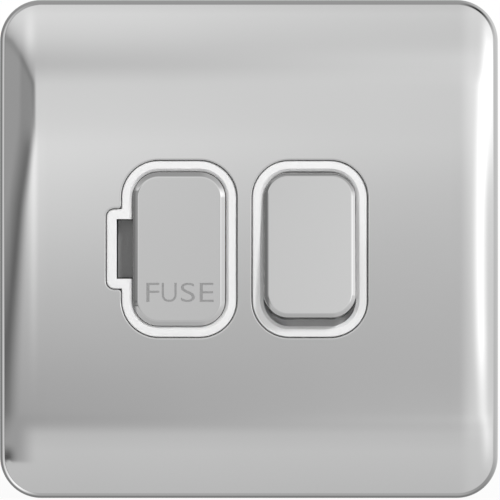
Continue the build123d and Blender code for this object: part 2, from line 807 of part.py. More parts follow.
with BuildPart() as fuse_carrier_cap:
    with BuildSketch(level(carrier_back)):
        with Locations((fuse_x, 0)):
            RectangleRounded(carrier_width, carrier_length, carrier_corner)
    extrude(amount=carrier_cap)
    fillet(fuse_carrier_cap.faces().sort_by(Axis.Y)[0].edges(), carrier_round)
write(fuse_carrier_cap, "fuse_carrier_cap")

with BuildPart() as fuse_carrier_drawer:
    with BuildSketch(level(carrier_back)):
        with Locations((fuse_x, 0)):
            RectangleRounded(drawer_width, drawer_length, drawer_corner)
    extrude(amount=-carrier_skirt)
    with BuildSketch(level(carrier_back - carrier_skirt)):
        with Locations((fuse_x, 0)):
            RectangleRounded(
                drawer_width - 2 * carrier_wall,
                drawer_length - 2 * carrier_wall,
                drawer_corner - carrier_wall,
            )
    extrude(amount=carrier_skirt - carrier_floor, mode=Mode.SUBTRACT)
    with BuildSketch(level(cradle_end)):
        with Locations((fuse_x, 0)):
            Rectangle(2 * cradle_half, cradle_length)
    extrude(amount=carrier_back - cradle_end)
    with BuildSketch(Plane.XY.offset(-cradle_length / 2)):
        with Locations((fuse_x, -fuse_level)):
            Circle(fuse_barrel_r + cradle_fit)
    extrude(amount=cradle_length, mode=Mode.SUBTRACT)
    with BuildSketch(level(carrier_back - lever_ledge)):
        with Locations((fuse_x - drawer_width / 2, 0)):
            Rectangle(2 * carrier_wall, slot_length)
    extrude(amount=lever_ledge, mode=Mode.SUBTRACT)
    with BuildSketch(level(carrier_back - lever_ledge)):
        with Locations(((lever_left + lever_right) / 2, 0)):
            Rectangle(lever_right - lever_left, slot_length - 2 * lever_gap)
    extrude(amount=-lever_wall)
write(fuse_carrier_drawer, "fuse_carrier_drawer")

# Terminals
screw_tip = wire_level - wire_r - pocket_gap
head_front = terminal_back - terminal_backout

for name, (x, side) in terminals.items():
    with BuildPart() as terminal:
        with BuildSketch(level(terminal_back)):
            with Locations((x, side * terminal_z)):
                Rectangle(terminal_width, terminal_length)
        extrude(amount=terminal_depth)
        with BuildSketch(Plane.XY.offset(side * terminal_z - terminal_length / 2)):
            with Locations((x, -wire_level)):
                Circle(wire_r)
        extrude(amount=terminal_length, mode=Mode.SUBTRACT)
        with BuildSketch(level(terminal_back)):
            with Locations((x, side * terminal_z)):
                Circle(terminal_screw_r + terminal_screw_fit)
        extrude(amount=wire_level - terminal_back, mode=Mode.SUBTRACT)
    write(terminal, name)

terminal_places = [(x, side * terminal_z) for x, side in terminals.values()]

with BuildPart() as terminal_screws:
    with BuildSketch(level(head_front)):
        with Locations(*terminal_places):
            Circle(terminal_head_r)
    extrude(amount=-terminal_head)
    with BuildSketch(level(head_front)):
        with Locations(*terminal_places):
            Circle(terminal_screw_r)
    extrude(amount=screw_tip - head_front)
    with BuildSketch(level(head_front - terminal_head)):
        with Locations(*terminal_places):
            Rectangle(2 * terminal_head_r + cut_margin, driver_slot)
    extrude(amount=driver_depth, mode=Mode.SUBTRACT)
write(terminal_screws, "terminal_screws")
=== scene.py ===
import math

import bmesh
import bpy
from mathutils import Matrix, Vector
from mathutils.geometry import delaunay_2d_cdt


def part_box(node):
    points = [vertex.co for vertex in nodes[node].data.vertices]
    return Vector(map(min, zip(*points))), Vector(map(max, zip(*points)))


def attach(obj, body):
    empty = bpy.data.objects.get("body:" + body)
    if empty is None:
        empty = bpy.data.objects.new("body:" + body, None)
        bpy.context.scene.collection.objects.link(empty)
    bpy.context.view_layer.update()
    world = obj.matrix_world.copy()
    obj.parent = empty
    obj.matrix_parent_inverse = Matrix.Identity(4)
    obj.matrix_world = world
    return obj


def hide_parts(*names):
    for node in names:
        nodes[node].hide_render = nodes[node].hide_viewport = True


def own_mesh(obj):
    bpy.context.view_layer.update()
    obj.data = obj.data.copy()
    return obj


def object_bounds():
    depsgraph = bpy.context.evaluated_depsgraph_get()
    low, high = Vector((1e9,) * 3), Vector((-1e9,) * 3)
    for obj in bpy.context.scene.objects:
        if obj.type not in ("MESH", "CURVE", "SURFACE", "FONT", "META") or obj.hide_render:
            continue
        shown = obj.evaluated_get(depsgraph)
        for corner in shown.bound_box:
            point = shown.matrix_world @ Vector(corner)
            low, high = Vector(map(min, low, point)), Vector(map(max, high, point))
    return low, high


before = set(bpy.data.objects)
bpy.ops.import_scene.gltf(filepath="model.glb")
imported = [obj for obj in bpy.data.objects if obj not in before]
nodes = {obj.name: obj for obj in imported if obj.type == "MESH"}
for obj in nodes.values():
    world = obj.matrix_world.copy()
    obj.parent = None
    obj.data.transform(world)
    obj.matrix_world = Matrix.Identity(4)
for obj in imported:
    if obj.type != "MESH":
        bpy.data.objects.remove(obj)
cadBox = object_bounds()
mm = 0.001


# Sockets

class Wire:
    # one socket of a node tree: sums and products of wires add Math nodes
    def __init__(self, tree, socket=None):
        self.tree = tree
        self.socket = socket

    def add(self, kind, settings=None, sockets=None, out=0):
        node = self.tree.nodes.new(kind)
        for name, value in (settings or {}).items():
            if name == "stops":
                setStops(node.color_ramp, value)
            else:
                setattr(node, name, value)
        for key, value in (sockets or {}).items():
            if isinstance(value, Wire):
                self.tree.links.new(value.socket, node.inputs[key])
            else:
                node.inputs[key].default_value = value
        return Wire(self.tree, node.outputs[out])

    def out(self, name):
        return Wire(self.tree, self.socket.node.outputs[name])

    def parts(self):  # X, Y and Z of a vector
        return self.add("ShaderNodeSeparateXYZ", None, {"Vector": self})

    def maths(self, operation, *values):
        return self.add("ShaderNodeMath", {"operation": operation}, dict(enumerate(values)))

    def __add__(self, other):
        return self.maths("ADD", self, other)

    def __sub__(self, other):
        return self.maths("SUBTRACT", self, other)

    def __rsub__(self, other):
        return self.maths("SUBTRACT", other, self)

    def __mul__(self, other):
        return self.maths("MULTIPLY", self, other)

    def __truediv__(self, other):
        return self.maths("DIVIDE", self, other)

    def __rtruediv__(self, other):
        return self.maths("DIVIDE", other, self)

    def __pow__(self, other):
        return self.maths("POWER", self, other)

    def __rpow__(self, other):
        return self.maths("POWER", other, self)

    def __neg__(self):
        return self.maths("MULTIPLY", self, -1.0)

    def __abs__(self):
        return self.maths("ABSOLUTE", self)

    def __gt__(self, other):
        return self.maths("GREATER_THAN", self, other)

    def __lt__(self, other):
        return self.maths("LESS_THAN", self, other)

    __radd__ = __add__
    __rmul__ = __mul__

    def atLeast(self, other):
        return self.maths("MAXIMUM", self, other)

    def atMost(self, other):
        return self.maths("MINIMUM", self, other)

    def root(self):
        return self.maths("SQRT", self)

    def fade(self, low, high):  # 0 below low, 1 above high, smooth between
        sockets = {"Value": self, "From Min": low, "From Max": high}
        return self.add("ShaderNodeMapRange", {"interpolation_type": "SMOOTHSTEP"}, sockets)

    def bump(self, centre, width):  # a bell of height 1
        offset = (self - centre) / width
        return self.maths("EXPONENT", -(offset * offset))

    def mixTo(self, other, share):
        return self + (other - self) * share


def setStops(ramp, stops):  # grey stops: place and value
    while len(ramp.elements) < len(stops):
        ramp.elements.new(1.0)
    for element, (place, value) in zip(ramp.elements, stops):
        element.position = place
        element.color = (value, value, value, 1.0)


# Finishes

def newFinish(name):
    material = bpy.data.materials.new(name)
    material.use_nodes = True
    tree = material.node_tree
    shader = tree.nodes["Principled BSDF"]
    place = Wire(tree).add("ShaderNodeTexCoord", out="Object")
    return material, shader, place


def speckle(place, scale, detail=3.0, rough=0.55):  # noise about 0, from -0.5 to 0.5
    sockets = {"Vector": place, "Scale": scale, "Detail": detail, "Roughness": rough}
    return place.add("ShaderNodeTexNoise", None, sockets) - 0.5


def tint(place, amount, dark, light):
    sockets = {0: amount, 6: (*dark, 1.0), 7: (*light, 1.0)}  # 6, 7 and output 2 are the colours
    return place.add("ShaderNodeMix", {"data_type": "RGBA"}, sockets, 2)


def join(wire, shader, name):
    wire.tree.links.new(wire.socket, shader.inputs[name])


def roughen(place, shader, height, depth):  # bump of a real depth in metres
    sockets = {"Height": height, "Distance": depth, "Strength": 1.0}
    join(place.add("ShaderNodeBump", None, sockets), shader, "Normal")


metalFinishes = {
    # name: dark tone, light tone, roughness, mottle per metre, roughness swing, bump depth
    "zinc_steel": ((0.52, 0.53, 0.55), (0.70, 0.71, 0.72), 0.34, 260.0, 0.16, 4e-6),
    "screw_steel": ((0.55, 0.55, 0.54), (0.70, 0.70, 0.69), 0.28, 700.0, 0.14, 3e-6),
    "brass": ((0.66, 0.47, 0.20), (0.83, 0.64, 0.33), 0.27, 420.0, 0.16, 3e-6),
    "spring_steel": ((0.42, 0.42, 0.43), (0.58, 0.58, 0.59), 0.22, 900.0, 0.10, 2e-6),
    "phosphor_bronze": ((0.58, 0.37, 0.21), (0.77, 0.54, 0.35), 0.26, 500.0, 0.14, 2e-6),
    "silver_alloy": ((0.72, 0.72, 0.70), (0.88, 0.88, 0.86), 0.36, 1100.0, 0.18, 3e-6),
    "fuse_nickel": ((0.60, 0.59, 0.56), (0.75, 0.74, 0.71), 0.20, 600.0, 0.10, 2e-6),
}
metalGrain = {
    "fineness": 9.0,       # fine grains to one mottle
    "fineDetail": 2.0,
    "contrast": 1.6,
    "fineSwing": 0.5,      # share of the roughness swing
    "mottleHeight": 0.4,   # share of the bump
}


def metalFinish(name):
    dark, light, roughness, mottle, swing, depth = metalFinishes[name]
    material, shader, place = newFinish(name)
    cloud = speckle(place, mottle)
    fine = speckle(place, mottle * metalGrain["fineness"], metalGrain["fineDetail"])
    join(tint(place, 0.5 + cloud * metalGrain["contrast"], dark, light), shader, "Base Color")
    join(roughness + cloud * swing + fine * swing * metalGrain["fineSwing"], shader, "Roughness")
    shader.inputs["Metallic"].default_value = 1.0
    roughen(place, shader, fine + cloud * metalGrain["mottleHeight"], depth)
    return material


chrome = {
    "tone": 0.56,
    "toneSwing": 0.012,
    "roughness": 0.055,
    "smear": 0.035,        # polishing haze
    "hazePerMetre": 38.0,
    "hazeDetail": 2.0,
    "wipe": 0.012,         # upright polishing marks
    "wipePerMetre": 900.0,
    "wipeDetail": 4.0,
    "wipeStretch": (1.0, 1.0, 0.08),
}


def chromeFinish():
    material, shader, place = newFinish("polished_chrome")
    haze = speckle(place, chrome["hazePerMetre"], chrome["hazeDetail"])
    stretch = place.add("ShaderNodeMapping", None, {"Vector": place, "Scale": chrome["wipeStretch"]})
    wipe = speckle(stretch, chrome["wipePerMetre"], chrome["wipeDetail"])
    low = chrome["tone"] - chrome["toneSwing"]
    high = chrome["tone"] + chrome["toneSwing"]
    join(tint(place, 0.5 + haze, (low, low, low), (high, high, high)), shader, "Base Color")
    join(chrome["roughness"] + haze * chrome["smear"] + wipe * chrome["wipe"], shader, "Roughness")
    shader.inputs["Metallic"].default_value = 1.0
    return material


plasticFinishes = {
    # name: dark tone, light tone, roughness, grain per metre, grain depth
    "white_plastic": ((0.84, 0.84, 0.84), (0.88, 0.88, 0.88), 0.34, 2600.0, 5e-6),
    "dark_plastic": ((0.040, 0.040, 0.043), (0.062, 0.062, 0.066), 0.50, 3400.0, 1.6e-5),
    "grey_plastic": ((0.27, 0.27, 0.27), (0.33, 0.33, 0.33), 0.55, 3400.0, 1.2e-5),
    "nylon": ((0.74, 0.73, 0.68), (0.82, 0.81, 0.77), 0.42, 1500.0, 6e-6),
    "fuse_ceramic": ((0.76, 0.74, 0.70), (0.85, 0.83, 0.80), 0.62, 2100.0, 1.2e-5),
}
plasticGrain = {
    "cloudScale": 0.05,    # share of the grain's scale
    "fineDetail": 2.0,
    "cloudTint": 0.8,
    "fineTint": 0.6,
    "cloudSwing": 0.08,
    "fineSwing": 0.16,
}


def plasticFinish(name):
    dark, light, roughness, grain, depth = plasticFinishes[name]
    material, shader, place = newFinish(name)
    cloud = speckle(place, grain * plasticGrain["cloudScale"])
    fine = speckle(place, grain, plasticGrain["fineDetail"])
    shade = 0.5 + cloud * plasticGrain["cloudTint"] + fine * plasticGrain["fineTint"]
    join(tint(place, shade, dark, light), shader, "Base Color")
    swing = fine * plasticGrain["fineSwing"] + cloud * plasticGrain["cloudSwing"]
    join(roughness + swing, shader, "Roughness")
    roughen(place, shader, fine, depth)
    return material


ink = {
    "dark": (0.31, 0.31, 0.31),
    "light": (0.37, 0.37, 0.37),
    "grainPerMetre": 5200.0,
    "grainDetail": 2.0,
    "roughness": 0.55,
    "swing": 0.2,
    "metallic": 0.5,
    "depth": 4e-6,
}


def inkFinish():
    material, shader, place = newFinish("etched_letters")
    fine = speckle(place, ink["grainPerMetre"], ink["grainDetail"])
    join(tint(place, 0.5 + fine, ink["dark"], ink["light"]), shader, "Base Color")
    join(ink["roughness"] + fine * ink["swing"], shader, "Roughness")
    shader.inputs["Metallic"].default_value = ink["metallic"]
    roughen(place, shader, fine, ink["depth"])
    return material


finishes = {name: metalFinish(name) for name in metalFinishes}
finishes.update({name: plasticFinish(name) for name in plasticFinishes})
finishes["polished_chrome"] = chromeFinish()
etchedLetters = inkFinish()

for node in nodes.values():
    for holder in node.material_slots:
        holder.material = finishes[holder.material.name.split(".")[0]]
print("finishes: %d on the CAD nodes" % len(finishes))


# Outlines: loops of (x, z, outward x, outward z), anticlockwise seen from the front

def filletedLoop(corners, spacing, arcStep=math.radians(5.0)):
    loop = []
    count = len(corners)
    for i, (x, z, radius) in enumerate(corners):
        here = Vector((x, z))
        before = Vector(corners[i - 1][:2])
        after = Vector(corners[(i + 1) % count][:2])
        u = (here - before).normalized()
        v = (after - here).normalized()
        turn = math.atan2(u.x * v.y - u.y * v.x, u.dot(v))
        reach = radius * math.tan(abs(turn) / 2)
        side = math.copysign(1.0, turn)
        outward = Vector((u.y, -u.x))
        centre = here - u * reach - outward * radius * side
        steps = max(2, math.ceil(abs(turn) / arcStep))
        for k in range(steps + 1):
            facing = Matrix.Rotation(turn * k / steps, 2) @ outward
            point = centre + facing * radius * side
            loop.append((point.x, point.y, facing.x, facing.y))
        beyond = Vector(corners[(i + 2) % count][:2])
        w = (beyond - after).normalized()
        nextTurn = abs(math.atan2(v.x * w.y - v.y * w.x, v.dot(w)))
        nextRadius = corners[(i + 1) % count][2]
        start = here + v * reach
        run = (after - v * nextRadius * math.tan(nextTurn / 2) - start).length
        pieces = max(1, round(run / spacing))
        facing = Vector((v.y, -v.x))
        for k in range(1, pieces):
            point = start + v * run * k / pieces
            loop.append((point.x, point.y, facing.x, facing.y))
    return loop


def boxCorners(centreX, halfWidth, halfLength, radius):
    left, right = centreX - halfWidth, centreX + halfWidth
    return [
        (left, -halfLength, radius),
        (right, -halfLength, radius),
        (right, halfLength, radius),
        (left, halfLength, radius),
    ]


def plainMesh(obj):  # what the modifiers make, as a mesh of its own
    graph = bpy.context.evaluated_depsgraph_get()
    made = bpy.data.meshes.new_from_object(obj.evaluated_get(graph))
    obj.modifiers.clear()
    obj.data = made
    return obj


def newTree(name, floats, ints=()):  # a node tree with named inputs
    tree = bpy.data.node_groups.new(name, "GeometryNodeTree")
    sockets = tree.interface
    sockets.new_socket("Geometry", in_out="INPUT", socket_type="NodeSocketGeometry")
    sockets.new_socket("Geometry", in_out="OUTPUT", socket_type="NodeSocketGeometry")
    for title in floats:
        sockets.new_socket(title, in_out="INPUT", socket_type="NodeSocketFloat")
    for title in ints:
        sockets.new_socket(title, in_out="INPUT", socket_type="NodeSocketInt")
    sockets.new_socket("finish", in_out="INPUT", socket_type="NodeSocketMaterial")
    return tree, Wire(tree).add("NodeGroupInput")


def closeTree(start, made):
    whole = start.add("GeometryNodeRealizeInstances", None, {"Geometry": made})
    finish = start.out("finish")
    done = start.add("GeometryNodeSetMaterial", None, {"Geometry": whole, "Material": finish})
    end = start.tree.nodes.new("NodeGroupOutput")
    start.tree.links.new(done.socket, end.inputs[0])


def named(start, title, kind="FLOAT"):
    return start.add("GeometryNodeInputNamedAttribute", {"data_type": kind}, {"Name": title})


def runTree(obj, tree, values):
    modifier = obj.modifiers.new(tree.name, "NODES")
    modifier.node_group = tree
    for item in tree.interface.items_tree:
        if item.in_out == "INPUT" and item.name in values:
            modifier[item.identifier] = values[item.name]
    return plainMesh(obj)


def showObject(name, mesh):
    obj = bpy.data.objects.new(name, mesh)
    bpy.context.scene.collection.objects.link(obj)
    return obj


# Cover plate

plate = {
    "half": 43.5 * mm,
    "corner": 7.2 * mm,
    "rise": 6.8 * mm,
    "wall": 1.0 * mm,
    "sideFlat": 36.5 * mm,
    "sideRadius": 12.2 * mm,
    "crownHalf": 28.5 * mm,
    "crownRadius": 800.0 * mm,
    "endRadius": 70.0 * mm,
    "rimWidth": 0.9 * mm,              # steep rounded band outside the crease
    "rimStart": math.radians(45.0),
    "rimSteps": 9,
    "rimEase": 1.5,                    # crowds the steps towards the crease
    "creaseFlat": 0.06 * mm,
    "pryHalf": 4.5 * mm,               # screwdriver slot in the lower edge
    "pryDepth": 1.3 * mm,
    "pryFacing": -0.99,                # outward z of the points on that edge
    "pressRound": 0.2 * mm,            # pressed edge of an aperture
    "pressFlat": 0.1 * mm,             # flat strip beside it
    "pressSteps": 5,
    "outlineGrid": 1.0 * mm,
    "outlineArc": math.radians(3.5),
    "apertureGrid": 0.8 * mm,
    "wideGrid": 1.5 * mm,
    "sideGrid": 0.45 * mm,
    "endGrid": 0.7 * mm,
    "backGrid": 3.0 * mm,
    "frontMargin": 0.6 * mm,           # kept clear of grid points beside an edge
    "backMargin": 1.0 * mm,
    "sharp": math.radians(32.0),
}
collars = {
    "fuseX": -12.15 * mm,
    "rockerX": 10.6 * mm,
    "halfWidth": 10.0 * mm,
    "halfLength": 15.35 * mm,
    "corner": 6.45 * mm,
    "notchLeft": -24.8 * mm,
    "notchHalf": 6.95 * mm,
    "notchCorner": 1.4 * mm,
    "notchRoot": 0.5 * mm,
    "gap": 0.12 * mm,
}


def notched(corners, left, half, bend, root):  # a box with a notch reaching out on its left
    edge = corners[0][0]
    return corners + [(edge, half, root), (left, half, bend), (left, -half, bend), (edge, -half, root)]


def collarCorners(module, grow):
    sizes = [collars[title] + grow for title in ("halfWidth", "halfLength", "corner")]
    corners = boxCorners(collars[module + "X"], *sizes)
    if module == "rocker":
        return corners
    left, half = collars["notchLeft"] - grow, collars["notchHalf"] + grow
    return notched(corners, left, half, collars["notchCorner"] + grow, collars["notchRoot"])


def apertureLoops(spacing):
    outlines = [collarCorners(module, collars["gap"]) for module in ("fuse", "rocker")]
    return [filletedLoop(corners, spacing) for corners in outlines]


def gridLines(half, flat, wide, fine):
    count = max(1, round(flat / wide))
    lines = [flat * k / count for k in range(count + 1)]
    count = max(1, round((half - flat) / fine))
    lines += [flat + (half - flat) * k / count for k in range(1, count)]
    return [-value for value in reversed(lines[1:])] + lines


def insideBox(x, z, centreX, halfWidth, halfLength, corner):
    dx = max(abs(x - centreX) - halfWidth + corner, 0.0)
    dz = max(abs(z) - halfLength + corner, 0.0)
    return math.hypot(dx, dz) < corner


def insideLoop(x, z, loop):  # even-odd rule
    inside = False
    for (ax, az), (bx, bz) in zip(loop, loop[1:] + loop[:1]):
        if (az > z) != (bz > z) and x < ax + (bx - ax) * (z - az) / (bz - az):
            inside = not inside
    return inside


def inPlate(x, z, margin):
    clear = collars["gap"] + margin
    width = collars["halfWidth"] + clear
    length = collars["halfLength"] + clear
    corner = collars["corner"] + clear
    for middle in (collars["fuseX"], collars["rockerX"]):
        if insideBox(x, z, middle, width, length, corner):
            return False
    if collars["notchLeft"] - clear < x < collars["fuseX"] and abs(z) < collars["notchHalf"] + clear:
        return False
    half = plate["half"] - plate["wall"] - margin
    return insideBox(x, z, 0.0, half, half, plate["corner"] - plate["wall"] - margin)


fillMode = 4      # of delaunay_2d_cdt: the rings' edges, and others that make valid faces
fillReach = 1e-5  # in millimetres
liftFacts = ("sink", "past", "foot", "footLevel")


class Layout:
    # a piece drawn flat, with what its node tree needs to lift each point
    def __init__(self):
        self.points = []
        self.faces = []

    def point(self, x, z, sink=0.0, past=0.0, foot=0.0, footLevel=0.0, facing=(0.0, 0.0)):
        self.points.append((x, z, sink, past, foot, footLevel, facing))
        return len(self.points) - 1

    def ring(self, loop, offset=0.0, **facts):
        return [
            self.point(x + nx * offset, z + nz * offset, facing=(nx, nz), **facts)
            for x, z, nx, nz in loop
        ]

    def bridge(self, first, second):
        count = len(first)
        for i in range(count):
            j = (i + 1) % count
            self.faces.append((first[i], first[j], second[j], second[i]))

    def fill(self, rings, inner, sink):  # triangles between the outer ring and the holes
        ids = [i for ring in rings for i in ring]
        edges = []
        start = 0
        for ring in rings:
            edges += [(start + i, start + (i + 1) % len(ring)) for i in range(len(ring))]
            start += len(ring)
        ids += [self.point(x, z, sink=sink) for x, z in inner]
        scale = 1.0 / mm
        places = [Vector(self.points[i][:2]) * scale for i in ids]
        made = delaunay_2d_cdt(places, edges, [], fillMode, fillReach)
        faces, origins = made[2], made[3]
        back = [ids[origin[0]] for origin in origins]
        holes = [[self.points[i][:2] for i in ring] for ring in rings[1:]]
        for face in faces:
            corners = [back[v] for v in face]
            middle = [sum(self.points[i][k] for i in corners) / len(corners) for k in (0, 1)]
            if not any(insideLoop(*middle, hole) for hole in holes):
                self.faces.append(tuple(corners))

    def mesh(self, name):
        mesh = bpy.data.meshes.new(name)
        mesh.from_pydata([(p[0], 0.0, p[1]) for p in self.points], [], self.faces)
        for k, title in enumerate(liftFacts, 2):  # after x and z
            layer = mesh.attributes.new(title, "FLOAT", "POINT")
            layer.data.foreach_set("value", [p[k] for p in self.points])
        layer = mesh.attributes.new("facing", "FLOAT_VECTOR", "POINT")
        facings = [c for *_, (x, z) in self.points for c in (x, 0.0, z)]
        layer.data.foreach_set("vector", facings)
        return mesh


def footLevels(layout, ring):  # the screwdriver slot is cut into the lower edge
    for i in ring:
        x, z, sink, past, foot, _, facing = layout.points[i]
        if abs(x) < plate["pryHalf"] and facing[1] < plate["pryFacing"]:
            layout.points[i] = (x, z, sink, past, foot, plate["pryDepth"], facing)


def plateLayout():
    layout = Layout()
    half = plate["half"]
    corners = boxCorners(0.0, half, half, plate["corner"])
    outline = filletedLoop(corners, plate["outlineGrid"], plate["outlineArc"])
    width, begin = plate["rimWidth"], plate["rimStart"]
    radius = width / (1.0 - math.sin(begin))
    lip = [layout.ring(outline, -width - plate["creaseFlat"])]
    for k in range(plate["rimSteps"] + 1):
        turn = begin + (math.pi / 2 - begin) * (k / plate["rimSteps"]) ** plate["rimEase"]
        inset = radius * (1.0 - math.sin(turn))
        sink = radius * (math.cos(begin) - math.cos(turn))
        lip.append(layout.ring(outline, -inset, sink=sink, past=width - inset))
    outerFoot = layout.ring(outline, foot=1.0)
    innerFoot = layout.ring(outline, -plate["wall"], foot=1.0)
    innerTop = layout.ring(outline, -plate["wall"], sink=plate["wall"])
    footLevels(layout, outerFoot)
    footLevels(layout, innerFoot)
    rings = lip + [outerFoot, innerFoot, innerTop]
    for first, second in zip(rings, rings[1:]):
        layout.bridge(first, second)
    press = plate["pressRound"]
    fronts, backs = [], []
    for loop in apertureLoops(plate["apertureGrid"]):
        rings = [layout.ring(loop, press + plate["pressFlat"])]
        for step in range(plate["pressSteps"] + 1):
            a = math.pi / 2 * step / plate["pressSteps"]
            inset, sink = press * (1.0 - math.sin(a)), press * (1.0 - math.cos(a))
            rings.append(layout.ring(loop, inset, sink=sink))
        rings.append(layout.ring(loop, sink=plate["wall"]))
        for first, second in zip(rings, rings[1:]):
            layout.bridge(first, second)
        fronts.append(rings[0])
        backs.append(rings[-1])
    xs = gridLines(half, plate["sideFlat"], plate["wideGrid"], plate["sideGrid"])
    zs = gridLines(half, plate["crownHalf"], plate["wideGrid"], plate["endGrid"])
    front = [(x, z) for x in xs for z in zs if inPlate(x, z, plate["frontMargin"])]
    layout.fill([lip[0]] + fronts, front, 0.0)
    coarse = gridLines(half, half, plate["backGrid"], plate["backGrid"])
    back = [(x, z) for x in coarse for z in coarse if inPlate(x, z, plate["backMargin"])]
    layout.fill([innerTop] + backs, back, plate["wall"])
    return layout.mesh("platePattern")


def plateTree():
    titles = ["rise", "sideFlat", "sideRadius", "crownHalf", "crownRadius", "endRadius"]
    tree, start = newTree("pillowPressing", titles)
    size = {title: start.out(title) for title in titles}
    crownAngle = start.maths("ARCSINE", size["crownHalf"] / size["crownRadius"])
    endZ = size["crownHalf"] - size["endRadius"] * start.maths("SINE", crownAngle)
    span = size["crownRadius"] - size["endRadius"]
    endDrop = size["crownRadius"] - span * start.maths("COSINE", crownAngle)

    def skin(x, z):  # rolled sides along a crowned upright line that rolls off at both ends
        side = (abs(x) - size["sideFlat"]).atLeast(0.0)
        sideDrop = size["sideRadius"] - (size["sideRadius"] ** 2.0 - side * side).root()
        middle = size["crownRadius"] - (size["crownRadius"] ** 2.0 - z * z).root()
        past = abs(z) - endZ
        end = endDrop - (size["endRadius"] ** 2.0 - past * past).root()
        return size["rise"] - sideDrop - middle.mixTo(end, abs(z) > size["crownHalf"])

    here = start.add("GeometryNodeInputPosition").parts()
    x, z = here.out("X"), here.out("Z")
    past = named(start, "past")  # the rim takes its level from the crease behind it
    facing = named(start, "facing", "FLOAT_VECTOR").parts()
    level = skin(x - facing.out("X") * past, z - facing.out("Z") * past) - named(start, "sink")
    level = level.mixTo(named(start, "footLevel"), named(start, "foot"))
    lifted = start.add("ShaderNodeCombineXYZ", None, {"X": x, "Y": -level, "Z": z})
    moved = start.add("GeometryNodeSetPosition", None, {
        "Geometry": start.out("Geometry"), "Position": lifted,
    })
    closeTree(start, moved)
    return tree


def shadeByAngle(mesh, sharp):
    mesh.shade_smooth()
    mesh.set_sharp_from_angle(angle=sharp)


def smoothOver(mesh, sharp):  # faces turned outward and the layout's own values dropped
    for title in (*liftFacts, "facing"):
        if title in mesh.attributes:
            mesh.attributes.remove(mesh.attributes[title])
    work = bmesh.new()
    work.from_mesh(mesh)
    bmesh.ops.recalc_face_normals(work, faces=work.faces)
    work.to_mesh(mesh)
    work.free()
    shadeByAngle(mesh, sharp)


chromePlate = showObject("chromePlate", plateLayout())
runTree(chromePlate, plateTree(), {**plate, "finish": finishes["polished_chrome"]})
smoothOver(chromePlate.data, plate["sharp"])
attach(chromePlate, "front_plate")
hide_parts("front_plate")
print("cover plate: %d faces" % len(chromePlate.data.polygons))


# Edges: bevelled mouths of the two white rings, and the bevelled caps of carrier and rocker

mouths = {
    "front": 6.25 * mm,        # the rings' front face
    "bevel": 0.15 * mm,        # bevel of the solid's mouth edges
    "deeper": 0.35 * mm,       # added to that bevel
    "closer": 0.11 * mm,       # by which its lower edge comes nearer to the rocker's sides
    "halfWidth": 8.15 * mm,
    "halfLength": 13.5 * mm,
    "corner": 4.6 * mm,
    "reach": 0.03 * mm,        # a vertex nearer than this to an edge is on it
    "merge": 0.001 * mm,
    "sharp": math.radians(30.0),
}
capSizes = {
    "fuse": {
        "halfWidth": 8.04 * mm, "halfLength": 13.39 * mm, "corner": 4.49 * mm, "draft": 0.0,
        "slope": math.radians(33.0), "bevel": 0.64 * mm, "upperRound": 0.4 * mm, "lowerRound": 0.12 * mm,
        "depth": 2.0 * mm, "wall": 0.0, "roof": 0.0,
        "front": 6.9 * mm, "lean": 0.0, "pivotLevel": 0.0,
        "body": "fuse_carrier", "node": "fuse_carrier_cap",
    },
    "rocker": {
        "halfWidth": 8.05 * mm, "halfLength": 12.8 * mm, "corner": 4.3 * mm, "draft": 0.12 * mm,
        "slope": math.radians(39.0), "bevel": 0.5 * mm, "upperRound": 0.34 * mm, "lowerRound": 0.12 * mm,
        "depth": 3.6 * mm, "wall": 1.0 * mm, "roof": 1.0 * mm,
        "front": 7.18 * mm, "lean": math.radians(6.0), "pivotLevel": 0.9 * mm,
        "body": "rocker", "node": "rocker_cap",
    },
}
capMesh = {
    "flat": 0.1 * mm,          # strip of the face beside the bevel
    "steps": 5,                # along each round
    "arcStep": math.radians(4.0),
    "sharp": math.radians(30.0),
}


def liftTree():  # lifts a flat layout to its levels, on a face that may lean about its pivot
    tree, start = newTree("edgedFace", ("front", "lean", "pivotLevel"))
    here = start.add("GeometryNodeInputPosition").parts()
    level = start.out("front") - named(start, "sink")
    upright = start.add("ShaderNodeCombineXYZ", None, {
        "X": here.out("X"), "Y": -level, "Z": here.out("Z"),
    })
    turned = start.add("ShaderNodeVectorRotate", {"rotation_type": "X_AXIS"}, {
        "Vector": upright, "Angle": -start.out("lean"),
    })
    shift = start.add("ShaderNodeCombineXYZ", None, {"Y": -start.out("pivotLevel")})
    moved = start.add("GeometryNodeSetPosition", None, {
        "Geometry": start.out("Geometry"), "Position": turned, "Offset": shift,
    })
    closeTree(start, moved)
    return tree


def mouthDistance(x, z):  # how far outside the outline of a ring's mouth, and the way out
    centre = min((collars["fuseX"], collars["rockerX"]), key=lambda middle: abs(x - middle))
    px = abs(x - centre) - mouths["halfWidth"] + mouths["corner"]
    pz = abs(z) - mouths["halfLength"] + mouths["corner"]
    out = Vector((max(px, 0.0), max(pz, 0.0)))
    distance = (out.length if px > 0.0 or pz > 0.0 else max(px, pz)) - mouths["corner"]
    way = out.normalized()
    return distance, Vector((math.copysign(way.x, x - centre), 0.0, math.copysign(way.y, z)))


def mergedCopy(node):  # a CAD node's mesh with its loose triangles joined up
    work = bmesh.new()
    work.from_mesh(nodes[node].data)
    bmesh.ops.remove_doubles(work, verts=work.verts, dist=mouths["merge"])
    merged = bpy.data.meshes.new(node)
    work.to_mesh(merged)
    work.free()
    if "custom_normal" in merged.attributes:  # made for the loose triangles
        merged.attributes.remove(merged.attributes["custom_normal"])
    for material in nodes[node].data.materials:
        merged.materials.append(material)
    return merged


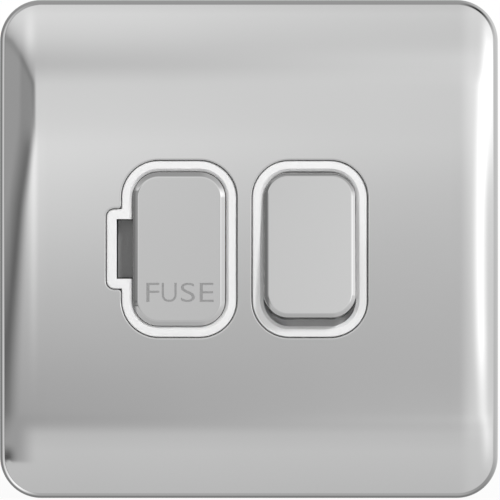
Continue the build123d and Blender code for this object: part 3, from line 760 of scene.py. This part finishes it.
def addRings():  # the insert frame again, with wider bevels round the mouths of its rings
    frameMesh = mergedCopy("insert_frame")
    front, bevel, reach = mouths["front"], mouths["bevel"], mouths["reach"]
    for vertex in frameMesh.vertices:
        level = -vertex.co.y
        distance, way = mouthDistance(vertex.co.x, vertex.co.z)
        if abs(level - front) < reach and abs(distance - bevel) < reach:
            vertex.co += way * mouths["deeper"]
        elif abs(level - front + bevel) < reach and abs(distance) < reach:
            vertex.co.y += mouths["deeper"]
            if vertex.co.x > 0.0:  # the rocker's ring
                vertex.co -= way * abs(way.x) * mouths["closer"]
    frameMesh.update()
    shadeByAngle(frameMesh, mouths["sharp"])
    rings = showObject("insertRings", frameMesh)
    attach(rings, "base")
    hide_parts("insert_frame")


def capProfile(size):  # inset from the outline and depth below the face, from the face outward
    slope, above, below = size["slope"], size["upperRound"], size["lowerRound"]
    steps = capMesh["steps"]
    inset = size["draft"] + above * math.sin(slope) + size["bevel"] + below * (1.0 - math.sin(slope))
    profile = [(inset + capMesh["flat"], 0.0)]
    for step in range(steps + 1):
        a = slope * step / steps
        profile.append((inset - above * math.sin(a), above * (1.0 - math.cos(a))))
    inset = profile[-1][0] - size["bevel"]
    sink = profile[-1][1] + size["bevel"] * math.tan(slope)
    for step in range(steps + 1):
        a = slope + (math.pi / 2 - slope) * step / steps
        drop = below * (math.cos(slope) - math.cos(a))
        profile.append((inset - below * (math.sin(a) - math.sin(slope)), sink + drop))
    profile.append((0.0, size["depth"]))
    if size["wall"]:
        profile += [(size["wall"], size["depth"]), (size["wall"], size["roof"])]
    return profile


def capLayout(module, size):
    layout = Layout()
    sizes = [size[title] for title in ("halfWidth", "halfLength", "corner")]
    corners = boxCorners(collars[module + "X"], *sizes)
    spacing = size["halfLength"] * 2  # so that no points lie between the arcs
    loop = filletedLoop(corners, spacing, capMesh["arcStep"])
    profile = capProfile(size)
    rings = [layout.ring(loop, -inset, sink=sink) for inset, sink in profile]
    for first, second in zip(rings, rings[1:]):
        layout.bridge(first, second)
    layout.fill([rings[0]], [], 0.0)
    layout.fill([rings[-1]], [], profile[-1][1])
    return layout.mesh(module + "CapPattern")


def addCaps():
    tree = liftTree()
    for module, size in capSizes.items():
        cap = showObject(module + "Cap", capLayout(module, size))
        runTree(cap, tree, {**size, "finish": finishes["polished_chrome"]})
        smoothOver(cap.data, capMesh["sharp"])
        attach(cap, size["body"])
        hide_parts(size["node"])


addRings()
addCaps()
print("white rings, and caps of carrier and rocker")


# Plunger springs: round wire coils in the rocker's tubes, each made at one length

springs = {
    "wire": 0.19 * mm,
    "wireSides": 12,
    "coilRadius": 1.3 * mm,
    "turns": 4.0,
    "stepsPerTurn": 40,
    "height": 5.1 * mm,
    "base": -2.9 * mm,        # along the tube, from the rocker's pivot
    "seat": 2.4 * mm,
    "pivotLevel": 0.9 * mm,   # in front of the wall
    "tilt": math.radians(6.0),
    "poleOffset": 4.4 * mm,
    "pressed": 0.885,         # share of the length left at the end of a plunger's travel
    "sharp": math.radians(50.0),
}


def coilTree():
    floats = ("wire", "coilRadius", "turns", "height")
    tree, start = newTree("coilSpring", floats, ("wireSides", "stepsPerTurn"))
    radius = start.out("coilRadius")
    coil = start.add("GeometryNodeCurveSpiral", None, {
        "Resolution": start.out("stepsPerTurn"), "Rotations": start.out("turns"),
        "Start Radius": radius, "End Radius": radius, "Height": start.out("height"),
    })
    section = start.add("GeometryNodeCurvePrimitiveCircle", None, {
        "Resolution": start.out("wireSides"), "Radius": start.out("wire"),
    })
    swept = start.add("GeometryNodeCurveToMesh", None, {
        "Curve": coil, "Profile Curve": section, "Fill Caps": True,
    })
    closeTree(start, swept)
    return tree


def addSprings():
    tree = coilTree()
    values = {**springs, "finish": finishes["spring_steel"]}
    axis = Vector((0.0, -math.cos(springs["tilt"]), math.sin(springs["tilt"])))
    for pole, side in (("line", -1), ("neutral", 1)):
        pivot = Vector((collars["rockerX"] + side * springs["poleOffset"], -springs["pivotLevel"], 0.0))
        spring = showObject(pole + "CoilSpring", bpy.data.meshes.new(pole + "CoilSpring"))
        runTree(spring, tree, values)
        spring.data.transform(axis.to_track_quat("Z", "Y").to_matrix().to_4x4())
        spring.data.transform(Matrix.Translation(pivot + axis * springs["base"]))
        smoothOver(spring.data, springs["sharp"])
        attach(spring, "rocker")
        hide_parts(pole + "_spring")
        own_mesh(spring)


addSprings()
print("plunger springs: %d turns each" % springs["turns"])


# Letters: the word on the fuse carrier, and terminal letters printed on the housing

fuseWord = {
    # letter, left and right
    "letters": (
        ("F", -17.86 * mm, -15.60 * mm), ("U", -15.18 * mm, -12.59 * mm),
        ("S", -11.87 * mm, -9.41 * mm), ("E", -8.57 * mm, -6.13 * mm),
    ),
    "bottom": -9.22 * mm,
    "top": -5.89 * mm,
    "thinner": 0.006,      # taken off each stroke's edge, in letter heights
    "proud": 0.012 * mm,
    "sunk": 0.05 * mm,
}
terminalLetters = {
    "height": 2.6 * mm,
    "proud": 0.03 * mm,
    "sunk": 0.05 * mm,
    "entryGap": 3.8 * mm,  # from a wire entry's middle to its letter, towards the plate
    "cover": 2.0 * mm,     # from a terminal's end to the outside of the housing
    "rows": (("supply", 1), ("load", -1)),  # 1 faces up, -1 down
    "poles": (("L", "line"), ("E", "earth"), ("N", "neutral")),
}
letterCurves = 6  # steps along each curve of a letter


def letterMesh(text, thinner):  # on the XY plane, 1 high and 1 deep, from the lower left corner
    drawn = bpy.data.curves.new(text, "FONT")
    drawn.body = text
    drawn.extrude = 0.5
    drawn.resolution_u = letterCurves
    drawn.offset = -thinner
    draft = showObject(text, drawn)
    graph = bpy.context.evaluated_depsgraph_get()
    mesh = bpy.data.meshes.new_from_object(draft.evaluated_get(graph))
    bpy.data.objects.remove(draft)
    xs = [v.co.x for v in mesh.vertices]
    ys = [v.co.y for v in mesh.vertices]
    scale = 1.0 / (max(ys) - min(ys))
    mesh.transform(Matrix.Translation((-min(xs), -min(ys), 0.0)))
    mesh.transform(Matrix.Diagonal((scale, scale, 1.0, 1.0)))
    return mesh, (max(xs) - min(xs)) * scale


def joinMeshes(name, meshes, material):
    work = bmesh.new()
    for mesh in meshes:
        work.from_mesh(mesh)
        bpy.data.meshes.remove(mesh)
    whole = bpy.data.meshes.new(name)
    work.to_mesh(whole)
    work.free()
    whole.materials.append(material)
    return showObject(name, whole)


def addFuseWord():
    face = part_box("fuse_carrier_cap")[0].y
    depth = fuseWord["proud"] + fuseWord["sunk"]
    middle = face - fuseWord["proud"] + depth / 2
    bottom, top = fuseWord["bottom"], fuseWord["top"]
    meshes = []
    for text, left, right in fuseWord["letters"]:
        mesh, width = letterMesh(text, fuseWord["thinner"])
        mesh.transform(Matrix.Diagonal(((right - left) / width, top - bottom, depth, 1.0)))
        mesh.transform(Matrix.Rotation(math.pi / 2, 4, "X"))
        mesh.transform(Matrix.Translation((left, middle, bottom)))
        meshes.append(mesh)
    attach(joinMeshes("fuseWord", meshes, etchedLetters), "fuse_carrier")


def printedText(text, height, depth, facing, place):  # centred on a place, read upright from the rear
    mesh, width = letterMesh(text, 0.0)
    mesh.transform(Matrix.Translation((-width / 2, -0.5, 0.0)))
    mesh.transform(Matrix.Diagonal((height, height, depth, 1.0)))
    mesh.transform(facing)
    mesh.transform(Matrix.Translation(place))
    return mesh


def addTerminalLetters():
    sizes = terminalLetters
    depth = sizes["proud"] + sizes["sunk"]
    lift = sizes["cover"] + sizes["proud"] - depth / 2
    turned = Matrix.Rotation(math.pi, 4, "Z")  # to be read from the rear
    meshes = []
    for row, side in sizes["rows"]:
        facing = turned if side > 0 else Matrix.Rotation(math.pi, 4, "Y")
        for text, pole in sizes["poles"]:
            low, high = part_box("%s_%s_terminal" % (row, pole))
            middle = (low + high) / 2
            level = (high.z if side > 0 else low.z) + side * lift
            place = (middle.x, middle.y - sizes["entryGap"] - sizes["height"] / 2, level)
            meshes.append(printedText(text, sizes["height"], depth, facing, place))
    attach(joinMeshes("terminalLetters", meshes, finishes["white_plastic"]), "base")


addFuseWord()
addTerminalLetters()
print("letters on the fuse carrier and the housing")


# Studio

studio = {  # angles in degrees: across to the right, up from level
    "ambient": 0.34,
    "skyReach": 90.0,
    "skyScale": 2.0,                # the ramp holds brightness divided by this
    "sky": (  # tilt up or down, brightness seen in polished metal
        (-90.0, 0.62), (-34.0, 0.82), (-24.0, 0.88), (-17.0, 0.92), (-11.8, 0.86), (-9.2, 0.735),
        (-4.5, 0.70), (-1.5, 0.785), (0.3, 0.855), (2.0, 0.945), (3.6, 1.07), (6.5, 1.06),
        (11.0, 0.97), (17.0, 0.99), (27.0, 1.12), (36.0, 0.74), (60.0, 0.52),
    ),
    "leftBands": (  # tilt, width and lift on the left, the opposite on the right
        (2.5, 3.2, 0.08), (12.3, 4.4, -0.13), (-7.4, 2.9, -0.12), (26.0, 9.0, 0.09),
    ),
    "leftFade": (-2.2, 2.2),
    "rightFade": (-3.0, 28.0),
    "rightLift": 0.28,
    "rightFoot": 0.08,              # the lift below rightFootFade
    "rightFootFade": (-18.0, -5.0),
    "rightTopLoss": 0.13,
    "rightTopFade": (4.0, 13.0),
    "edgeLift": 0.4,                # pale band beside the wedge
    "edgeBand": (-11.0, 8.0),       # middle and width
    "edgeFootFade": (-5.5, 3.0),
    "edgeTopFade": (3.4, 4.3),
    "patchLift": 0.24,              # pale patch at the upper left
    "patchAcross": (-18.0, 9.0),    # middle and width
    "patchUp": (20.0, 7.0),
    "floorFade": (-20.7, -19.8),
    "lowTone": 0.56,                # shade at the lower left
    "lowAcross": (-42.0, -4.0),
    "lowUp": (-9.0, -4.0),
    "spotTone": 0.12,               # dark spot on the left, just above the floor
    "spotAcross": (-58.0, -36.0),
    "spotUp": (-19.2, -14.5),
    "farWall": 0.26,                # on the far left, seen only by steep bevels
    "farFade": (-72.0, -62.0),
    "behindFade": (-0.06, 0.02),    # depth at which the view behind begins
    "leastDepth": 0.001,
}
strip = {  # tall bright strip on the right
    "across": 38.0,
    "width": 9.5,
    "lift": 0.95,
    "bow": 14.0,                    # leans away by this at both ends
    "straight": 8.0,                # reach of its middle, up and down
    "wider": 10.5,                  # added on its far side, towards the top
    "widerFade": (1.5, 5.0),
    "middleShare": 0.55,            # of the brightness, lost below middleFade
    "middleFade": (-5.5, -2.8),
    "footFade": (-26.0, -12.0),
    "topFade": (12.0, 32.0),
}
wedge = {  # dark wall on the left, seen as a wedge
    "edge": -31.4,                  # its right edge at eye level
    "edgeSlope": 3.4,               # that edge moves right for each degree up
    "bendUp": 1.5,                  # and by bendSlope more above this
    "bendSlope": 3.5,
    "edgeLimit": -8.0,
    "blur": 11.0,                   # half the width over which that edge fades
    "blurSlope": -1.4,              # for each degree up
    "leastBlur": 4.5,
    "tip": -5.0,                    # its right end
    "tipFade": 4.0,
    "top": 3.4,                     # upper edge: a curve that climbs to the left
    "topSlope": 0.5,
    "topCurve": -0.0033,
    "topBlur": 3.5,
    "dark": 0.21,
    "paler": 0.0135,                # for each degree to the left of the right edge
    "pale": 0.54,
    "upperTone": 0.45,              # the least above upperFade
    "upperFade": (3.0, 4.0),
    "lineDrop": 1.0,                # dark line below the upper edge
    "lineWidth": 1.5,
    "lineLoss": 0.09,
}
rimSight = {  # what the steep rim sees beside and behind the plate
    "right": 0.87,
    "rightClimb": 0.8,              # brighter upward
    "left": 0.97,
    "leftLoss": 0.64,               # darker further behind
    "leftFade": (0.36, 0.52),
    "above": 0.52,
    "below": 0.66,
    "belowLoss": 0.36,
    "belowFade": (0.35, 0.7),
    "cornerLoss": 0.9,              # at the upper right, a gain at the lower left
    "cornerFade": (0.3, 0.6),
    "leastReach": 1e-6,
}


def stripLight(across, up):
    away = across - strip["across"] - (1.0 - up.bump(0.0, strip["straight"])) * strip["bow"]
    width = strip["width"] + (away > 0.0) * up.fade(*strip["widerFade"]) * strip["wider"]
    share = strip["middleShare"]
    lower = up.fade(*strip["middleFade"]) * share + up.fade(*strip["footFade"]) * (1.0 - share)
    upper = 1.0 - up.fade(*strip["topFade"])
    return (away / width).bump(0.0, 1.0) * lower * upper * strip["lift"]


def wedgeShare(across, up):  # how much of the dark wall shows, and its tone
    bend = (up - wedge["bendUp"]).atLeast(0.0) * wedge["bendSlope"]
    edge = (up * wedge["edgeSlope"] + bend + wedge["edge"]).atMost(wedge["edgeLimit"])
    blur = (wedge["blur"] + up * wedge["blurSlope"]).atLeast(wedge["leastBlur"])
    inside = 1.0 - ((across - edge) / blur).fade(-1.0, 1.0)
    out = (wedge["tip"] - across).atLeast(0.0)
    over = up - wedge["top"] - out * wedge["topSlope"] - out * out * wedge["topCurve"]
    above = across.maths("EXPONENT", -over.atLeast(0.0) / wedge["topBlur"])
    inside = inside * above * out.fade(0.0, wedge["tipFade"])
    deep = (edge - blur - across).atLeast(0.0)
    tone = wedge["dark"] + deep * wedge["paler"]
    tone = tone.atLeast(up.fade(*wedge["upperFade"]) * wedge["upperTone"]).atMost(wedge["pale"])
    line = (over + wedge["lineDrop"]).bump(0.0, wedge["lineWidth"])
    return inside, tone - line * wedge["lineLoss"]


def behindGlow(way):  # each side's tone, by how far a direction leans to it
    x, y, z = way.out("X"), way.out("Y"), way.out("Z")
    reach = (x * x + z * z).atLeast(rimSight["leastReach"])

    def share(side):  # of what lies on one side
        return side.atLeast(0.0) * side.atLeast(0.0) / reach

    right = share(x) * (rimSight["right"] + z * rimSight["rightClimb"])
    left = share(-x) * (rimSight["left"] - y.fade(*rimSight["leftFade"]) * rimSight["leftLoss"])
    below = share(-z) * (rimSight["below"] - y.fade(*rimSight["belowFade"]) * rimSight["belowLoss"])
    glow = right + left + share(z) * rimSight["above"] + below
    diagonal = (x * z * 2.0 / reach).atLeast(0.0)
    corner = diagonal * diagonal * (x + z) / (reach * 2.0).root()
    return glow - corner * (1.0 - y.fade(*rimSight["cornerFade"])) * rimSight["cornerLoss"]


def studioGlow(sky):  # what polished metal sees: a graded room, a dark side wall and a strip light
    way = sky.add("ShaderNodeTexCoord", out="Generated").parts()
    depth = (1.0 - way.out("Y")).atLeast(studio["leastDepth"])
    toDegrees = 360.0 / math.pi  # twice the tilt of the surface that mirrors this direction to the front
    across = sky.maths("ARCTANGENT", way.out("X") / depth) * toDegrees
    up = sky.maths("ARCTANGENT", way.out("Z") / depth) * toDegrees
    reach, scale = studio["skyReach"], studio["skyScale"]
    stops = [((angle + reach) / (2 * reach), value / scale) for angle, value in studio["sky"]]
    place = (up + reach) / (2 * reach)
    glow = sky.add("ShaderNodeValToRGB", {"stops": stops}, {"Fac": place}) * scale
    left = 1.0 - across.fade(*studio["leftFade"]) * 2.0
    for centre, width, lift in studio["leftBands"]:
        glow = glow + up.bump(centre, width) * left * lift
    foot = studio["rightFoot"]
    rightLift = foot + up.fade(*studio["rightFootFade"]) * (studio["rightLift"] - foot)
    rightLift = rightLift - up.fade(*studio["rightTopFade"]) * studio["rightTopLoss"]
    glow = glow + across.fade(*studio["rightFade"]) * rightLift + stripLight(across, up)
    edgeLift = up.fade(*studio["edgeFootFade"]) * (1.0 - up.fade(*studio["edgeTopFade"]))
    glow = glow + across.bump(*studio["edgeBand"]) * edgeLift * studio["edgeLift"]
    patch = up.bump(*studio["patchUp"]) * across.bump(*studio["patchAcross"])
    glow = glow + patch * studio["patchLift"]
    floorEdge = up.fade(*studio["floorFade"])
    for title in ("low", "spot"):
        shade = 1.0 - across.fade(*studio[title + "Across"])
        shade = shade * floorEdge * (1.0 - up.fade(*studio[title + "Up"]))
        glow = glow.mixTo(studio[title + "Tone"], shade)
    inside, tone = wedgeShare(across, up)
    glow = glow.mixTo(tone, inside)
    glow = glow.mixTo(studio["farWall"], 1.0 - across.fade(*studio["farFade"]))
    return glow.mixTo(behindGlow(way), way.out("Y").fade(*studio["behindFade"]))


def paintWorld():
    world = bpy.data.worlds.new("studio")
    world.use_nodes = True
    bpy.context.scene.world = world
    tree = world.node_tree
    tree.nodes.clear()
    sky = Wire(tree)
    ray = sky.add("ShaderNodeLightPath", out="Is Camera Ray")
    plain = ray.atLeast(ray.out("Is Transmission Ray"))
    mirror = ray.out("Is Glossy Ray")
    level = studio["ambient"] + (studioGlow(sky) - studio["ambient"]) * mirror
    level = level.mixTo(1.0, plain)
    back = sky.add("ShaderNodeBackground", None, {"Color": (1.0, 1.0, 1.0, 1.0), "Strength": level})
    end = tree.nodes.new("ShaderNodeOutputWorld")
    tree.links.new(back.socket, end.inputs["Surface"])


camera = {
    "away": 1.2,
    "frameWidth": 87.52 * mm,  # seen across the picture at the wall plane
    "aimX": 0.184 * mm,
    "aimZ": -0.184 * mm,
    "sensor": 36.0,
    "clip": (0.05, 20.0),
}


def addCamera():
    eye = bpy.data.cameras.new("camera")
    eye.sensor_width = camera["sensor"]
    eye.lens = camera["sensor"] * camera["away"] / camera["frameWidth"]
    eye.clip_start, eye.clip_end = camera["clip"]
    holder = showObject("camera", eye)
    holder.location = (camera["aimX"], -camera["away"], camera["aimZ"])
    holder.rotation_euler = (math.pi / 2, 0.0, 0.0)
    bpy.context.scene.camera = holder


lamps = {
    # name: place, width, watts
    "keyLamp": ((0.68, -0.94, 0.82), 0.22, 10.6),
    "fillLamp": ((-0.8, -1.0, 0.06), 0.8, 5.4),
    "rearLamp": ((0.3, 1.0, 0.7), 0.8, 3.6),
}


def addLamps():
    for name, (place, width, watts) in lamps.items():
        lamp = bpy.data.lights.new(name, "AREA")
        lamp.size = width
        lamp.energy = watts
        holder = showObject(name, lamp)
        holder.location = place
        holder.rotation_euler = (-Vector(place)).to_track_quat("-Z", "Y").to_euler()
        holder.visible_glossy = False


floorSheet = {
    "near": -0.9,
    "far": 0.7,
    "halfWidth": 1.0,
    "drop": 0.1 * mm,
    "white": 0.93,  # share of plain white that the camera sees, the rest keeps the shadow
    "squares": 8,
    "dark": (0.90, 0.90, 0.90),
    "light": (0.93, 0.93, 0.93),
    "grainPerMetre": 60.0,
    "roughness": 0.8,
}


def addFloor():
    level = cadBox[0].z - floorSheet["drop"]
    squares = floorSheet["squares"]
    work = bmesh.new()
    bmesh.ops.create_grid(work, x_segments=squares, y_segments=squares, size=1.0)
    mesh = bpy.data.meshes.new("floor")
    work.to_mesh(mesh)
    work.free()
    depth = (floorSheet["far"] - floorSheet["near"]) / 2
    mesh.transform(Matrix.Diagonal((floorSheet["halfWidth"], depth, 1.0, 1.0)))
    middle = (floorSheet["far"] + floorSheet["near"]) / 2
    mesh.transform(Matrix.Translation((0.0, middle, level)))
    material, shader, place = newFinish("paleFloor")
    grain = speckle(place, floorSheet["grainPerMetre"])
    join(tint(place, 0.5 + grain, floorSheet["dark"], floorSheet["light"]), shader, "Base Color")
    shader.inputs["Roughness"].default_value = floorSheet["roughness"]
    ray = place.add("ShaderNodeLightPath", out="Is Camera Ray")
    white = place.add("ShaderNodeEmission", None, {"Color": (1.0, 1.0, 1.0, 1.0), "Strength": 1.0})
    lit = Wire(place.tree, shader.outputs[0])
    share = ray * floorSheet["white"]
    both = place.add("ShaderNodeMixShader", None, {0: share, 1: lit, 2: white})
    place.tree.links.new(both.socket, place.tree.nodes["Material Output"].inputs["Surface"])
    mesh.materials.append(material)
    floor = showObject("floor", mesh)
    floor.visible_glossy = False


bpy.context.scene.view_settings.view_transform = "Standard"
paintWorld()
addCamera()
addLamps()
addFloor()
print("studio ready")
